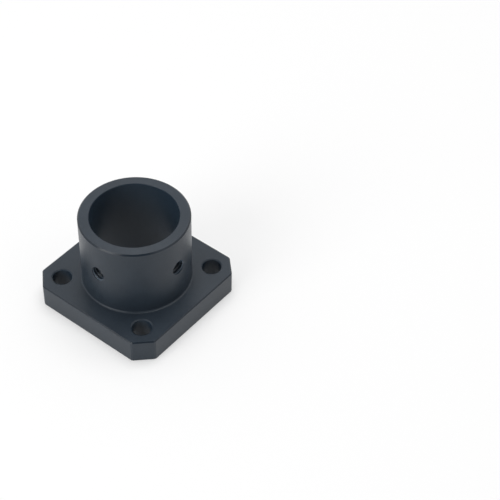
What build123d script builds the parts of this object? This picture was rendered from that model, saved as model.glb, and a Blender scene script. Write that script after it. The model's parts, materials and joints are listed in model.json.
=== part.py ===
from build123d import *
import math
import os

# A shaft support turned and milled from one block: a square flange with cut corners,
# and a collar that holds the shaft. Sizes are in millimetres and degrees. The origin is
# on the bore's axis, in the flange's mounting face, and +Z points along the collar.

# Collar
bore_diameter = 20.0
collar_wall = 2.5
collar_height = 18.0  # above the flange
root_fillet = 0.4  # where the collar's wall meets the flange
rim_bevel = 0.3  # on the outer edge of the collar's end
bore_bevel = 0.1  # at both ends of the bore

# Flange
flange_thickness = 6.0
flange_ledge = 4.5  # flange beyond the collar, at the middle of each side
corner_cut = 3.7  # leg of the flat cut across each corner
flange_bevel = 0.25  # on every outer edge of the flange

# Bolt holes, which clear an M4 screw
bolt_hole_diameter = 4.5
bolt_hole_inset = 5.0  # from a hole's centre to the two sides beside it
bolt_hole_bevel = 0.3
drill_point_angle = 118.0  # the bolt holes' bevels are made with a drill's point

# Side holes, tapped M4 for the screws that lock the shaft
side_hole_diameter = 4.0
side_hole_drop = 8.5  # from the collar's end down to the side holes' centres
side_hole_directions = (0.0, -90.0)  # about Z from +X, each square to a side of the flange

# Sizes that follow from the ones above
bore_radius = bore_diameter / 2
collar_radius = bore_radius + collar_wall
total_height = flange_thickness + collar_height
flange_side = 2 * (collar_radius + flange_ledge)
bolt_spacing = flange_side - 2 * bolt_hole_inset
bolt_bevel_depth = bolt_hole_bevel / math.tan(math.radians(drill_point_angle / 2))
side_hole_height = total_height - side_hole_drop

# How far a cutter runs past the face that it opens
cutter_overrun = 1.0


def flange_plate():
    """Square plate with its corners cut flat and every outer edge broken."""
    outline = Rectangle(flange_side, flange_side)
    outline = chamfer(outline.vertices(), corner_cut)
    plate = extrude(outline, flange_thickness)
    return chamfer(plate.edges(), flange_bevel)


def blank():
    """Flange and solid collar, with the fillet at the collar's root and the bevel on its rim."""
    collar = Cylinder(collar_radius, total_height, align=(Align.CENTER, Align.CENTER, Align.MIN))
    body = flange_plate() + collar
    circles = body.edges().filter_by(GeomType.CIRCLE).sort_by(Axis.Z)
    rim = circles[-1]
    body = chamfer(rim, rim_bevel)
    root = body.edges().filter_by(GeomType.CIRCLE).sort_by(Axis.Z)[0]
    return fillet(root, root_fillet)


def through_cutter(diameter, length, bevel_width, bevel_depth):
    """Cutter for a hole along Z from 0 to the given length, with a bevel at both ends."""
    radius = diameter / 2
    mouth = radius + bevel_width
    profile = Polyline(
        (0, -cutter_overrun),
        (mouth, -cutter_overrun),
        (mouth, 0),
        (radius, bevel_depth),
        (radius, length - bevel_depth),
        (mouth, length),
        (mouth, length + cutter_overrun),
        (0, length + cutter_overrun),
        close=True,
    )
    return revolve(make_face(Plane.XZ * profile), Axis.Z)


def radial_cutter(direction):
    """Cutter for a side hole: from the bore's axis out through the collar's wall."""
    reach = collar_radius + cutter_overrun
    cutter = Cylinder(side_hole_diameter / 2, reach, align=(Align.CENTER, Align.CENTER, Align.MIN))
    outward = Plane((0, 0, side_hole_height), x_dir=(0, 0, -1), z_dir=(1, 0, 0))
    return Rot(0, 0, direction) * outward.location * cutter


def shaft_support():
    """The finished support."""
    body = blank() - through_cutter(bore_diameter, total_height, bore_bevel, bore_bevel)
    bolt_cutter = through_cutter(bolt_hole_diameter, flange_thickness, bolt_hole_bevel, bolt_bevel_depth)
    for place in GridLocations(bolt_spacing, bolt_spacing, 2, 2):
        body -= place * bolt_cutter
    for direction in side_hole_directions:
        body -= radial_cutter(direction)
    return body


os.makedirs("parts", exist_ok=True)
support = shaft_support()
support.label = "flanged_support"
export_step(support, "parts/flanged_support.step")
print(f"flanged_support: {flange_side:g} x {flange_side:g} x {total_height:g} mm, volume {support.volume:.1f} mm3")
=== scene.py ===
"""Finish, side-hole threads, studio and camera for a black anodised shaft support."""

import json
import math

import bmesh
import bpy
from mathutils import Euler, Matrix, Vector


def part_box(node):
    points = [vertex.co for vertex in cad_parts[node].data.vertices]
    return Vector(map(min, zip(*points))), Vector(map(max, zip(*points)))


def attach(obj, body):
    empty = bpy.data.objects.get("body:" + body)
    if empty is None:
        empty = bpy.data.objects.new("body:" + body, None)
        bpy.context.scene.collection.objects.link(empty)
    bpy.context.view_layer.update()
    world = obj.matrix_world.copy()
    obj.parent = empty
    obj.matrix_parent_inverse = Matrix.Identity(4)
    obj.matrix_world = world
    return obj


bl_info = {
    "name": "Shaft support looks",
    "version": (1, 0, 0),
    "blender": (4, 5, 0),
    "location": "View3D > Sidebar > Shaft support",
    "description": "Dresses a machined shaft support and sets up its studio",
    "category": "Object",
}

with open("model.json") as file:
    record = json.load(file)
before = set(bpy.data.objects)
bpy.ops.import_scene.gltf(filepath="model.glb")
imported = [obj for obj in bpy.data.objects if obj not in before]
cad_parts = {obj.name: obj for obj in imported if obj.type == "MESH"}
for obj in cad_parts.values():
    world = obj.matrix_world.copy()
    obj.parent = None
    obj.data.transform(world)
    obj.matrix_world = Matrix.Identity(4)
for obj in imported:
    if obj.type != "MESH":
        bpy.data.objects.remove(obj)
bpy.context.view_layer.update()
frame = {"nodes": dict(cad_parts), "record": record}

BODY = "root"
SUPPORT = "flanged_support"
MM = 0.001
FULL_TURN = 2 * math.pi

# Sizes of the part, from the frame
MOUNTS = {mount["name"]: mount for mount in frame["record"]["mounts"]}
BOLTS = MOUNTS["flange_bolts"]["dims"]
SIDE_HOLES = [mount for mount in MOUNTS.values() if mount["kind"] == "threaded_hole"]
SIDE_HOLE = SIDE_HOLES[0]
HALF_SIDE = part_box(SUPPORT)[1].x  # of the flange
BORE_RADIUS = MOUNTS["shaft_bore"]["dims"]["r_mm"] * MM
BOLT_HOLE_RADIUS = BOLTS["hole_r_mm"] * MM
SIDE_HOLE_RADIUS = SIDE_HOLE["dims"]["r_mm"] * MM
COLLAR_RADIUS = Vector(SIDE_HOLE["pos_m"]).xy.length + SIDE_HOLE["dims"]["length_mm"] * MM / 2

# Where on the part a mask rises from 0, at the first number, to 1, at the second
FLAT_TILT = (0.85, 0.95)  # faces that lie flat, by the upright part of their normal
MILLED_SIDE = (0.93, 0.97)  # sides of the flange, in half sides from the upright axis
CUT_CORNER = (1.17, 1.19)  # corners of the flange, in the same measure
BORE_WALL = (1.008, 1.002)  # in bore radii from the upright axis
BOLT_HOLE_WALL = (1.03, 1.01)  # in bolt hole radii from a bolt hole's axis
FIRST_TURNS = (0.915, 0.94)  # outer end of a thread, in collar radii from the upright axis
BELOW_MOUTH = (0.998, 0.994)  # all of a thread but its cut face, in the same measure

# Between which numbers a mask is 1
BEVEL_TILT = (0.66, 0.75)  # faces that slope by 45 degrees
ROOT_FILLET = (1.001, 1.1)  # foot of the collar, in collar radii from the upright axis

# How the marks of the tools wander and fade, and how the finish varies
DRIFT_SIZE = 2.5 * MM
DRIFT_TURNS = 1.2  # how many marks aside a line may drift
PATCH_SIZE = 1.5 * MM
PATCH_RISE = (0.35, 0.65)
MILLED_DEPTH = 0.6  # of a mark on a milled side, as a share of a turned one
CLOUD_SHARE = 0.6  # of clouds in the colour's changes, beside flecks
SHADE_RISE = (0.3, 0.7)
CLOUD_ROUGHNESS = 0.06
FLECK_ROUGHNESS = 0.08

# The image that the camera matches
IMAGE_SIZE = 500  # pixels along each side
SENSOR_WIDTH = 36.0  # millimetres, as the lens is


class Wire:
    """A number in a node tree. Arithmetic and comparisons on it add Math nodes."""

    def __init__(self, graph, socket):
        self.graph = graph
        self.socket = socket

    def __add__(self, other):
        return self.graph.math("ADD", self, other)

    __radd__ = __add__

    def __sub__(self, other):
        return self.graph.math("SUBTRACT", self, other)

    def __rsub__(self, other):
        return self.graph.math("SUBTRACT", other, self)

    def __mul__(self, other):
        return self.graph.math("MULTIPLY", self, other)

    __rmul__ = __mul__

    def __truediv__(self, other):
        return self.graph.math("DIVIDE", self, other)

    def __gt__(self, other):
        return self.graph.math("GREATER_THAN", self, other)

    def __lt__(self, other):
        return self.graph.math("LESS_THAN", self, other)


class Graph:
    """Adds nodes to a shader or geometry tree."""

    def __init__(self, tree):
        self.tree = tree
        tree.nodes.clear()

    def node(self, kind, settings=None, inputs=None):
        """A node of that type: its settings first, then a value or a link for each socket."""
        made = self.tree.nodes.new(kind)
        for name, value in (settings or {}).items():
            setattr(made, name, value)
        for key, value in (inputs or {}).items():
            if isinstance(value, Wire):
                value = value.socket
            if isinstance(value, bpy.types.NodeSocket):
                self.tree.links.new(value, made.inputs[key])
            else:
                made.inputs[key].default_value = value
        return made

    def wire(self, kind, settings=None, inputs=None, output=0):
        """The same, as a number that arithmetic works on."""
        return Wire(self, self.node(kind, settings, inputs).outputs[output])

    def math(self, operation, *values):
        return self.wire("ShaderNodeMath", {"operation": operation}, dict(enumerate(values)))

    def split(self, vector):
        """The three parts of a vector."""
        parts = self.node("ShaderNodeSeparateXYZ", inputs={"Vector": vector})
        return [Wire(self, socket) for socket in parts.outputs]

    def join(self, x, y, z):
        return self.node("ShaderNodeCombineXYZ", inputs={"X": x, "Y": y, "Z": z}).outputs[0]

    def noise(self, place, size, detail=2.0, roughness=0.5):
        """Noise about 0.5 whose features have roughly that size, in metres."""
        inputs = {"Vector": place, "Scale": 1 / size, "Detail": detail, "Roughness": roughness}
        return self.wire("ShaderNodeTexNoise", inputs=inputs)

    def blend(self, mask, low, high):
        """low where the mask is 0, high where it is 1."""
        return low + (high - low) * mask

    def tint(self, factor, low, high):
        """low at a factor of 0, high at 1, and past them beyond that, each a colour or a socket."""
        settings = {"data_type": "RGBA", "clamp_factor": False}
        ends = [end if isinstance(end, bpy.types.NodeSocket) else (*end, 1.0) for end in (low, high)]
        # a Mix node takes its two colours at sockets 6 and 7 and gives the mixed one at 2
        return self.node("ShaderNodeMix", settings, {0: factor, 6: ends[0], 7: ends[1]}).outputs[2]


class FinishSettings(bpy.types.PropertyGroup):
    """Colour and machining marks of the anodised metal."""

    dark_colour: bpy.props.FloatVectorProperty(
        name="Dark colour", description="Anodised colour at its deepest",
        default=(0.0208, 0.0296, 0.0408), subtype="COLOR", min=0, max=1)
    light_colour: bpy.props.FloatVectorProperty(
        name="Light colour", description="Anodised colour at its palest",
        default=(0.0252, 0.0358, 0.0492), subtype="COLOR", min=0, max=1)
    # painted light: a brighter, bluer colour that lightens the walls of the bore and the bolt holes
    hole_painted_light: bpy.props.FloatVectorProperty(
        name="Hole painted light", description="Brighter, bluer colour painted on the walls of the bore and the bolt holes as painted light",
        default=(0.0235, 0.0400, 0.0605), subtype="COLOR", min=0, max=1)
    # painted shade: the bevels are darkened below the dark colour, in place of the dark reflection they
    # show
    painted_bevel_shade: bpy.props.FloatProperty(
        name="Painted bevel shade",
        description="How far the bevels fall below the dark colour, in steps from dark to light",
        default=1.5, min=0)
    bevel_polish: bpy.props.FloatProperty(
        name="Bevel polish", description="How much less rough the bevels are",
        default=0.14, min=0, max=1, subtype="FACTOR")
    thread_polish: bpy.props.FloatProperty(
        name="Thread polish", description="How much less rough the first turns of a thread are",
        default=0.18, min=0, max=1, subtype="FACTOR")
    # painted light: the first turns of a thread are lifted past the light colour, where little light
    # reaches into the hole
    thread_painted_light: bpy.props.FloatProperty(
        name="Thread painted light",
        description="How far the first turns of a thread go past the light colour, in the same steps",
        default=6.5, min=0)
    roughness: bpy.props.FloatProperty(
        name="Roughness", description="Roughness of the etched surface",
        default=0.34, min=0, max=1, subtype="FACTOR")
    gloss: bpy.props.FloatProperty(
        name="Gloss", description="Index of refraction of the sealed oxide layer",
        default=1.36, min=1, max=2)
    feed: bpy.props.FloatProperty(
        name="Feed", description="Distance between turning marks",
        default=0.14 * MM, min=0.01 * MM, subtype="DISTANCE", unit="LENGTH", precision=6)
    mark_depth: bpy.props.FloatProperty(
        name="Mark depth", description="Depth of the turning and milling marks",
        default=0.0025 * MM, min=0, subtype="DISTANCE", unit="LENGTH", precision=7)
    cloud_size: bpy.props.FloatProperty(
        name="Cloud size", description="Size of the soft changes of colour and gloss",
        default=6 * MM, min=0.1 * MM, subtype="DISTANCE", unit="LENGTH", precision=5)
    fleck_size: bpy.props.FloatProperty(
        name="Fleck size", description="Size of the small changes of colour and gloss",
        default=0.35 * MM, min=0.01 * MM, subtype="DISTANCE", unit="LENGTH", precision=5)
    grain_size: bpy.props.FloatProperty(
        name="Grain size", description="Size of the grain left by etching",
        default=0.09 * MM, min=0.01 * MM, subtype="DISTANCE", unit="LENGTH", precision=6)
    grain_depth: bpy.props.FloatProperty(
        name="Grain depth", description="Depth of the grain left by etching",
        default=0.004 * MM, min=0, subtype="DISTANCE", unit="LENGTH", precision=7)


class ThreadSettings(bpy.types.PropertyGroup):
    """Sizes of the thread in the side holes."""

    pitch: bpy.props.FloatProperty(
        name="Pitch", description="Distance from one ridge of the thread to the next",
        default=0.7 * MM, min=0.1 * MM, subtype="DISTANCE", unit="LENGTH", precision=5)
    ridge_height: bpy.props.FloatProperty(
        name="Ridge height", description="Height of a ridge above the hole's wall",
        default=0.30 * MM, min=0, subtype="DISTANCE", unit="LENGTH", precision=5)
    crest_width: bpy.props.FloatProperty(
        name="Crest width", description="Width of the flat on top of a ridge",
        default=0.175 * MM, min=0, subtype="DISTANCE", unit="LENGTH", precision=5)
    root_width: bpy.props.FloatProperty(
        name="Root width", description="Width of a ridge where it leaves the wall",
        default=0.6125 * MM, min=0, subtype="DISTANCE", unit="LENGTH", precision=5)
    inset: bpy.props.FloatProperty(
        name="Inset", description="How far the thread keeps from both ends of the hole",
        default=0.004 * MM, min=0, subtype="DISTANCE", unit="LENGTH", precision=6)
    overlap: bpy.props.FloatProperty(
        name="Overlap", description="How deep a ridge is rooted in the wall",
        default=0.03 * MM, min=0, subtype="DISTANCE", unit="LENGTH", precision=5)
    turns: bpy.props.FloatVectorProperty(
        name="Turns", description="Where round each side hole the ridge meets the outside",
        default=(math.radians(285), math.radians(103)), size=2, unit="ROTATION")
    steps: bpy.props.IntProperty(
        name="Steps", description="Sections along the whole thread", default=240, min=24)


class StageSettings(bpy.types.PropertyGroup):
    """Floor, light and camera."""

    floor_width: bpy.props.FloatProperty(
        name="Floor width", description="Side of the square floor",
        default=4.0, min=0.1, subtype="DISTANCE", unit="LENGTH")
    floor_colour: bpy.props.FloatVectorProperty(
        name="Floor colour", description="Colour of the pale floor",
        default=(0.95, 0.95, 0.95), subtype="COLOR", min=0, max=1)
    shadow_share: bpy.props.FloatProperty(
        name="Shadow share", description="How much of the floor's brightness its shadows can take",
        default=0.55, min=0, max=1, subtype="FACTOR")
    room_light: bpy.props.FloatProperty(
        name="Room light", description="Strength of the white surroundings", default=0.54, min=0)
    front_dim: bpy.props.FloatProperty(
        name="Front dim", description="Share of the room's light that is missing around the camera",
        default=1.0, min=0, max=1, subtype="FACTOR")
    front_width: bpy.props.FloatProperty(
        name="Front width", description="Half the width of the dim place around the camera",
        default=math.radians(38), subtype="ANGLE", unit="ROTATION")
    softbox_width: bpy.props.FloatProperty(
        name="Softbox width", description="Side of each square softbox",
        default=0.5, min=0.01, subtype="DISTANCE", unit="LENGTH")
    top_power: bpy.props.FloatProperty(
        name="Top light", description="Power of the softbox overhead",
        default=2.7, min=0, subtype="POWER", unit="POWER")
    top_place: bpy.props.FloatVectorProperty(
        name="Top place", description="Middle of the softbox overhead",
        default=(-0.05, 0.15, 0.7), subtype="TRANSLATION", unit="LENGTH")
    side_power: bpy.props.FloatProperty(
        name="Side light", description="Power of the softbox at the front left",
        default=2.6, min=0, subtype="POWER", unit="POWER")
    side_place: bpy.props.FloatVectorProperty(
        name="Side place", description="Middle of the softbox at the front left",
        default=(-0.09, -0.70, 0.40), subtype="TRANSLATION", unit="LENGTH")
    azimuth: bpy.props.FloatProperty(
        name="Azimuth", description="Camera direction, from the front towards +X",
        default=math.radians(37.47), subtype="ANGLE", unit="ROTATION")
    elevation: bpy.props.FloatProperty(
        name="Elevation", description="Camera height above the floor's plane",
        default=math.radians(45.51), subtype="ANGLE", unit="ROTATION")
    roll: bpy.props.FloatProperty(
        name="Roll", description="Camera turn about its own line of sight",
        default=math.radians(1.50), subtype="ANGLE", unit="ROTATION")
    focal_length: bpy.props.FloatProperty(
        name="Focal length", description="Lens of the camera",
        default=104.87, min=1, unit="CAMERA")
    depth: bpy.props.FloatProperty(
        name="Depth", description="Distance of the part's origin along the line of sight",
        default=0.33587, min=0.01, subtype="DISTANCE", unit="LENGTH")
    origin_pixel: bpy.props.FloatVectorProperty(
        name="Origin pixel", description="Where the part's origin falls in the image",
        default=(138.2, 289.6), size=2)


def axis_distance(graph, x, y):
    """Distance from the upright axis."""
    return graph.math("SQRT", x * x + y * y)


def step_up(graph, value, ends):
    """A smooth rise from 0 at the first of the two ends to 1 at the second."""
    inputs = {"Value": value, "From Min": ends[0], "From Max": ends[1]}
    return graph.wire("ShaderNodeMapRange", {"interpolation_type": "SMOOTHSTEP"}, inputs)


def between(value, ends):
    """1 between the two ends, and 0 outside them."""
    return (value > ends[0]) * (value < ends[1])


def machining_marks(graph, place, feed):
    """Height, from -1 to 1, of the marks that the tools left: rings on what was turned, faced
    or bored, and fainter upright lines on the milled sides of the flange."""
    x, y, z = graph.split(place)
    normal_x, normal_y, normal_z = graph.split(graph.node("ShaderNodeNewGeometry").outputs["Normal"])
    radius = axis_distance(graph, x, y)
    faced = step_up(graph, graph.math("ABSOLUTE", normal_z), FLAT_TILT)
    reach = graph.math("MAXIMUM", graph.math("ABSOLUTE", x), graph.math("ABSOLUTE", y))
    on_side = step_up(graph, reach / HALF_SIDE, MILLED_SIDE)
    on_cut = step_up(graph, radius / HALF_SIDE, CUT_CORNER)
    milled = graph.math("MAXIMUM", on_side, on_cut)
    # the distance across the marks: outwards on flat faces, upwards on round walls, and sideways
    # on milled ones
    along = y * normal_x - x * normal_y
    on_wall = graph.blend(milled, z, along)
    distance = graph.blend(faced, on_wall, radius)
    drift = graph.noise(place, DRIFT_SIZE, detail=1.0) * DRIFT_TURNS
    lines = graph.math("SINE", distance * (FULL_TURN / feed) + drift * FULL_TURN)
    patches = step_up(graph, graph.noise(place, PATCH_SIZE, detail=1.0), PATCH_RISE)
    return lines * graph.blend(milled, 1.0, patches * MILLED_DEPTH)


def bevel_faces(graph, reach):
    """1 on the 45 degree bevels, which a sharp cutter leaves smooth. The reach is the distance
    from the upright axis in collar radii, and leaves out the fillet at the collar's root."""
    normal = graph.split(graph.node("ShaderNodeNewGeometry").outputs["True Normal"])
    tilt = graph.math("ABSOLUTE", normal[2])
    return between(tilt, BEVEL_TILT) * (1.0 - between(reach, ROOT_FILLET))


def hole_walls(graph, x, y):
    """1 on the walls of the bore and the bolt holes."""
    bore = step_up(graph, axis_distance(graph, x, y) / BORE_RADIUS, BORE_WALL)
    across = graph.math("ABSOLUTE", x) - BOLTS["spacing_x_mm"] * MM / 2
    along = graph.math("ABSOLUTE", y) - BOLTS["spacing_y_mm"] * MM / 2
    bolt_hole = step_up(graph, axis_distance(graph, across, along) / BOLT_HOLE_RADIUS, BOLT_HOLE_WALL)
    return graph.math("MAXIMUM", bore, bolt_hole)


def anodised_metal(settings, name, marked):
    """Black anodised aluminium: a deep satin black with an etched grain. Marked, it is the body,
    with fine tool marks, smooth bevels with painted shade, and painted light in its holes: a
    brighter, bluer colour. Unmarked, it is a thread, with painted light on its less rough first turns."""
    material = bpy.data.materials.new(name)
    material.use_nodes = True
    graph = Graph(material.node_tree)
    place = graph.node("ShaderNodeTexCoord").outputs["Object"]
    cloud = graph.noise(place, settings.cloud_size, detail=3.0)
    fleck = graph.noise(place, settings.fleck_size)
    grain = graph.noise(place, settings.grain_size, detail=3.0, roughness=0.6)
    shade = step_up(graph, cloud * CLOUD_SHARE + fleck * (1 - CLOUD_SHARE), SHADE_RISE)
    roughness = settings.roughness + (cloud - 0.5) * CLOUD_ROUGHNESS + (fleck - 0.5) * FLECK_ROUGHNESS
    height = grain * settings.grain_depth
    x, y = graph.split(place)[:2]
    reach = axis_distance(graph, x, y) / COLLAR_RADIUS
    if marked:
        height = height + machining_marks(graph, place, settings.feed) * settings.mark_depth
        bevels = bevel_faces(graph, reach)
        # painted shade: the bevels' colour falls below the dark colour, standing in for their dark
        # reflection; their lower roughness is real
        shade = shade - settings.painted_bevel_shade * bevels
        roughness = roughness - settings.bevel_polish * bevels
    else:
        # painted light: the first turns of a thread are made paler to stand in for light that hardly
        # reaches them; they are also less rough
        painted_light_and_polish = step_up(graph, reach, FIRST_TURNS) * step_up(graph, reach, BELOW_MOUTH)
        shade = shade + settings.thread_painted_light * painted_light_and_polish
        roughness = roughness - settings.thread_polish * painted_light_and_polish
    colour = graph.tint(shade, settings.dark_colour, settings.light_colour)
    if marked:
        # painted light: the walls of the bore and the bolt holes take a brighter, bluer colour that
        # lightens these recesses
        colour = graph.tint(hole_walls(graph, x, y), colour, settings.hole_painted_light)
    bump = graph.node("ShaderNodeBump", inputs={"Strength": 1.0, "Distance": 1.0, "Height": height})
    inputs = {
        "Base Color": colour,
        "Roughness": roughness,
        "IOR": settings.gloss,
        "Normal": bump.outputs[0],
    }
    shader = graph.node("ShaderNodeBsdfPrincipled", inputs=inputs)
    graph.node("ShaderNodeOutputMaterial", inputs={"Surface": shader.outputs[0]})
    return material


def number_input(tree, name, kind="NodeSocketFloat"):
    """A named input of a geometry tree, and the identifier that a modifier sets it by."""
    return tree.interface.new_socket(name, in_out="INPUT", socket_type=kind).identifier


def thread_tree(material):
    """Geometry tree that sets a helical ridge in every hole of its input: one point for each
    hole, on the upright axis, with the hole's direction. Returns the tree, and the identifier
    of each input by its name."""
    tree = bpy.data.node_groups.new("side_hole_thread", "GeometryNodeTree")
    tree.interface.new_socket("Geometry", in_out="INPUT", socket_type="NodeSocketGeometry")
    names = ("Pitch", "Wall Radius", "Ridge Height", "Crest Width", "Root Width", "Start", "End", "Overlap")
    keys = {name: number_input(tree, name) for name in names}
    keys["Steps"] = number_input(tree, "Steps", "NodeSocketInt")
    tree.interface.new_socket("Geometry", in_out="OUTPUT", socket_type="NodeSocketGeometry")
    graph = Graph(tree)
    given = graph.node("NodeGroupInput")
    size = {name: Wire(graph, given.outputs[name]) for name in names}

    # a square tube from 0 to 1 along Z, whose four corners become the ridge's section
    tube = graph.node(
        "GeometryNodeMeshCylinder", {"fill_type": "NGON"},
        {"Vertices": 4, "Side Segments": given.outputs["Steps"], "Radius": 1.0, "Depth": 1.0})
    turned = graph.node(
        "GeometryNodeTransform",
        inputs={
            "Geometry": tube.outputs["Mesh"],
            "Translation": (0, 0, 0.5),
            "Rotation": (0, 0, math.pi / 4),
        })
    x, y, share = graph.split(graph.node("GeometryNodeInputPosition").outputs[0])
    at_crest = x > 0
    side = graph.math("SIGN", y)
    rooted = size["Wall Radius"] + size["Overlap"]
    radius = rooted - (size["Ridge Height"] + size["Overlap"]) * at_crest
    width = graph.blend(at_crest, size["Root Width"], size["Crest Width"])
    half_root = size["Root Width"] * 0.5
    middle = graph.blend(share, size["Start"] - half_root, size["End"] + half_root)
    wanted = middle + side * width * 0.5
    along = graph.math("MAXIMUM", graph.math("MINIMUM", wanted, size["End"]), size["Start"])
    # where an end cuts the ridge, its crest comes down along the flank
    slope = size["Ridge Height"] / (half_root - size["Crest Width"] * 0.5)
    lost = graph.math("ABSOLUTE", wanted - along) * slope
    radius = graph.math("MINIMUM", radius + lost * at_crest, rooted)
    angle = (middle - size["End"]) / size["Pitch"] * FULL_TURN
    helix = graph.join(graph.math("COSINE", angle) * radius, graph.math("SINE", angle) * radius, along)
    ridge = graph.node(
        "GeometryNodeSetPosition", inputs={"Geometry": turned.outputs[0], "Position": helix})
    shaded = graph.node(
        "GeometryNodeSetShadeSmooth", inputs={"Geometry": ridge.outputs[0], "Shade Smooth": False})

    direction = graph.node(
        "GeometryNodeInputNamedAttribute", {"data_type": "FLOAT_VECTOR"}, {"Name": "direction"})
    turn = graph.node("GeometryNodeInputNamedAttribute", {"data_type": "FLOAT"}, {"Name": "turn"})
    facing = graph.node(
        "FunctionNodeAlignRotationToVector", {"axis": "Z"},
        {"Rotation": graph.join(0, 0, turn.outputs["Attribute"]), "Vector": direction.outputs["Attribute"]})
    placed = graph.node(
        "GeometryNodeInstanceOnPoints",
        inputs={"Points": given.outputs["Geometry"], "Instance": shaded.outputs[0],
                "Rotation": facing.outputs[0]})
    solid = graph.node("GeometryNodeRealizeInstances", inputs={"Geometry": placed.outputs[0]})

    # no point further from the upright axis than the end, because the collar's outside is round
    x, y, z = graph.split(graph.node("GeometryNodeInputPosition").outputs[0])
    pull = graph.math("MINIMUM", size["End"] / axis_distance(graph, x, y), 1.0)
    trimmed = graph.node(
        "GeometryNodeSetPosition",
        inputs={"Geometry": solid.outputs[0], "Position": graph.join(x * pull, y * pull, z)})
    finished = graph.node(
        "GeometryNodeSetMaterial", inputs={"Geometry": trimmed.outputs[0], "Material": material})
    graph.node("NodeGroupOutput", inputs={"Geometry": finished.outputs[0]})
    return tree, keys


def hole_points(turns):
    """A point on the upright axis for each side hole, which knows the hole's direction and how
    far its thread is turned."""
    mesh = bpy.data.meshes.new("side_hole_points")
    mesh.from_pydata([(0, 0, hole["pos_m"][2]) for hole in SIDE_HOLES], [], [])
    directions = [part for hole in SIDE_HOLES for part in hole["axis"]]
    mesh.attributes.new("direction", "FLOAT_VECTOR", "POINT").data.foreach_set("vector", directions)
    mesh.attributes.new("turn", "FLOAT", "POINT").data.foreach_set("value", list(turns))
    return bpy.data.objects.new("side_hole_points", mesh)


def grown(points, tree, values, name):
    """The plain mesh object that a geometry tree makes from points."""
    scene = bpy.context.scene
    scene.collection.objects.link(points)
    modifier = points.modifiers.new("thread", "NODES")
    modifier.node_group = tree
    for key, value in values.items():
        modifier[key] = value
    points.update_tag()
    depsgraph = bpy.context.evaluated_depsgraph_get()
    mesh = bpy.data.meshes.new_from_object(points.evaluated_get(depsgraph))
    mesh.name = name
    points.modifiers.remove(modifier)
    bpy.data.objects.remove(points)
    shape = bmesh.new()
    shape.from_mesh(mesh)
    bmesh.ops.recalc_face_normals(shape, faces=shape.faces)
    shape.to_mesh(mesh)
    shape.free()
    made = bpy.data.objects.new(name, mesh)
    scene.collection.objects.link(made)
    return made


class SUPPORT_OT_finish(bpy.types.Operator):
    """Give the support its black anodised finish"""

    bl_idname = "shaft_support.finish"
    bl_label = "Anodised finish"

    def execute(self, context):
        material = anodised_metal(context.scene.support_finish, "satin_black_anodising", marked=True)
        part = frame["nodes"][SUPPORT]
        part.data.materials.clear()
        part.data.materials.append(material)
        return {"FINISHED"}


class SUPPORT_OT_threads(bpy.types.Operator):
    """Add the thread's ridges to the side holes"""

    bl_idname = "shaft_support.threads"
    bl_label = "Side-hole threads"

    def execute(self, context):
        settings = context.scene.support_thread
        material = anodised_metal(context.scene.support_finish, "unmarked_black_anodising", marked=False)
        tree, keys = thread_tree(material)
        sizes = {
            "Pitch": settings.pitch,
            "Wall Radius": SIDE_HOLE_RADIUS,
            "Ridge Height": settings.ridge_height,
            "Crest Width": settings.crest_width,
            "Root Width": settings.root_width,
            "Start": BORE_RADIUS + settings.inset,
            "End": COLLAR_RADIUS - settings.inset,
            "Overlap": settings.overlap,
            "Steps": settings.steps,
        }
        threads = grown(
            hole_points(settings.turns), tree, {keys[name]: value for name, value in sizes.items()},
            "side_hole_threads")
        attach(threads, BODY)
        return {"FINISHED"}


def floor_material(settings):
    """Pale floor. Seen directly or in a reflection, part of its brightness is its own, so it
    stays white while its shadows still show."""
    material = bpy.data.materials.new("pale_floor")
    material.use_nodes = True
    graph = Graph(material.node_tree)
    matt = graph.node("ShaderNodeBsdfDiffuse", inputs={"Color": (*settings.floor_colour, 1.0)})
    dim = [channel * settings.shadow_share for channel in settings.floor_colour]
    shadowed = graph.node("ShaderNodeBsdfDiffuse", inputs={"Color": (*dim, 1.0)})
    white = graph.node("ShaderNodeEmission", inputs={"Strength": 1 - settings.shadow_share})
    bright = graph.node("ShaderNodeAddShader", inputs={0: shadowed.outputs[0], 1: white.outputs[0]})
    mixed = graph.node(
        "ShaderNodeMixShader", inputs={0: seen_rays(graph), 1: matt.outputs[0], 2: bright.outputs[0]})
    graph.node("ShaderNodeOutputMaterial", inputs={"Surface": mixed.outputs[0]})
    return material


def ray_is(graph, kind):
    """1 for rays of that kind, such as Camera."""
    return graph.wire("ShaderNodeLightPath", output=f"Is {kind} Ray")


def seen_rays(graph):
    """1 for rays that see the background, straight or through gloss or glass, and 0 for its light."""
    seen = ray_is(graph, "Camera") + ray_is(graph, "Glossy") + ray_is(graph, "Transmission")
    return graph.math("MINIMUM", seen, 1.0)


def white_room(settings):
    """White surroundings, dim around the camera, where the photographer keeps light away."""
    world = bpy.data.worlds.new("white_room")
    world.use_nodes = True
    graph = Graph(world.node_tree)
    flat_share = math.cos(settings.elevation)
    to_camera = (
        math.sin(settings.azimuth) * flat_share,
        -math.cos(settings.azimuth) * flat_share,
        math.sin(settings.elevation),
    )
    direction = graph.node("ShaderNodeTexCoord").outputs["Generated"]
    nearness = graph.wire(
        "ShaderNodeVectorMath", {"operation": "DOT_PRODUCT"}, {0: direction, 1: to_camera}, "Value")
    dim_edge = (math.cos(settings.front_width), math.cos(settings.front_width / 2))
    dim = step_up(graph, nearness, dim_edge) * settings.front_dim * (1 - ray_is(graph, "Camera"))
    strength = graph.blend(seen_rays(graph), settings.room_light, 1.0) * (1 - dim)
    white = graph.node("ShaderNodeBackground", inputs={"Color": (1, 1, 1, 1), "Strength": strength})
    graph.node("ShaderNodeOutputWorld", inputs={"Surface": white.outputs[0]})
    return world


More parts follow.
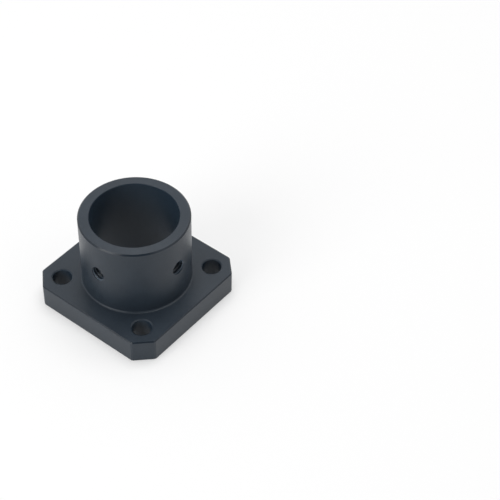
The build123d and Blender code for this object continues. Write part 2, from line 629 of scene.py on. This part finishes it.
def soft_box(name, place, width, power):
    """Square soft light that points at the part."""
    lamp = bpy.data.lights.new(name, "AREA")
    lamp.shape = "SQUARE"
    lamp.size = width
    lamp.energy = power
    made = bpy.data.objects.new(name, lamp)
    made.location = place
    made.rotation_euler = (-Vector(place)).to_track_quat("-Z", "Y").to_euler()
    bpy.context.scene.collection.objects.link(made)


def photo_camera(settings):
    """Camera that sees the part as the reference does."""
    camera = bpy.data.cameras.new("camera")
    camera.sensor_width = SENSOR_WIDTH
    camera.lens = settings.focal_length
    made = bpy.data.objects.new("camera", camera)
    tilt = Euler((math.pi / 2 - settings.elevation, 0, settings.azimuth)).to_matrix()
    turn = Euler((0, 0, settings.roll)).to_matrix()
    rotation = tilt @ turn
    focal_pixels = IMAGE_SIZE * settings.focal_length / SENSOR_WIDTH
    right, down = [(pixel - IMAGE_SIZE / 2) / focal_pixels for pixel in settings.origin_pixel]
    origin_seen = Vector((right, -down, -1)) * settings.depth
    made.location = rotation @ -origin_seen
    made.rotation_euler = rotation.to_euler()
    camera.clip_start = 0.01
    camera.clip_end = 100
    bpy.context.scene.collection.objects.link(made)
    bpy.context.scene.camera = made


class SUPPORT_OT_stage(bpy.types.Operator):
    """Set up the floor, the light and the camera"""

    bl_idname = "shaft_support.stage"
    bl_label = "Studio"

    def execute(self, context):
        settings = context.scene.support_stage
        half = settings.floor_width / 2
        mesh = bpy.data.meshes.new("floor")
        corners = [(-half, -half, 0), (half, -half, 0), (half, half, 0), (-half, half, 0)]
        mesh.from_pydata(corners, [], [(0, 1, 2, 3)])
        mesh.materials.append(floor_material(settings))
        floor = bpy.data.objects.new("floor", mesh)
        context.scene.collection.objects.link(floor)
        context.scene.world = white_room(settings)
        soft_box("top_light", settings.top_place, settings.softbox_width, settings.top_power)
        soft_box("side_light", settings.side_place, settings.softbox_width, settings.side_power)
        photo_camera(settings)
        context.scene.view_settings.view_transform = "Standard"
        return {"FINISHED"}


class SUPPORT_PT_looks(bpy.types.Panel):
    """The steps that dress the support, with their settings"""

    bl_label = "Shaft support"
    bl_idname = "SUPPORT_PT_looks"
    bl_space_type = "VIEW_3D"
    bl_region_type = "UI"
    bl_category = "Shaft support"

    def draw(self, context):
        scene = context.scene
        steps = (
            (SUPPORT_OT_finish, scene.support_finish),
            (SUPPORT_OT_threads, scene.support_thread),
            (SUPPORT_OT_stage, scene.support_stage),
        )
        for operator, settings in steps:
            box = self.layout.box()
            box.operator(operator.bl_idname)
            for name in settings.__annotations__:
                box.prop(settings, name)


SETTINGS = {
    "support_finish": FinishSettings,
    "support_thread": ThreadSettings,
    "support_stage": StageSettings,
}
CLASSES = (*SETTINGS.values(), SUPPORT_OT_finish, SUPPORT_OT_threads, SUPPORT_OT_stage, SUPPORT_PT_looks)


def register():
    for cls in CLASSES:
        bpy.utils.register_class(cls)
    for name, group in SETTINGS.items():
        setattr(bpy.types.Scene, name, bpy.props.PointerProperty(type=group))


def unregister():
    for name in SETTINGS:
        delattr(bpy.types.Scene, name)
    for cls in reversed(CLASSES):
        bpy.utils.unregister_class(cls)


def main():
    register()
    bpy.ops.shaft_support.finish()
    bpy.ops.shaft_support.threads()
    bpy.ops.shaft_support.stage()


if __name__ == "__main__":
    main()
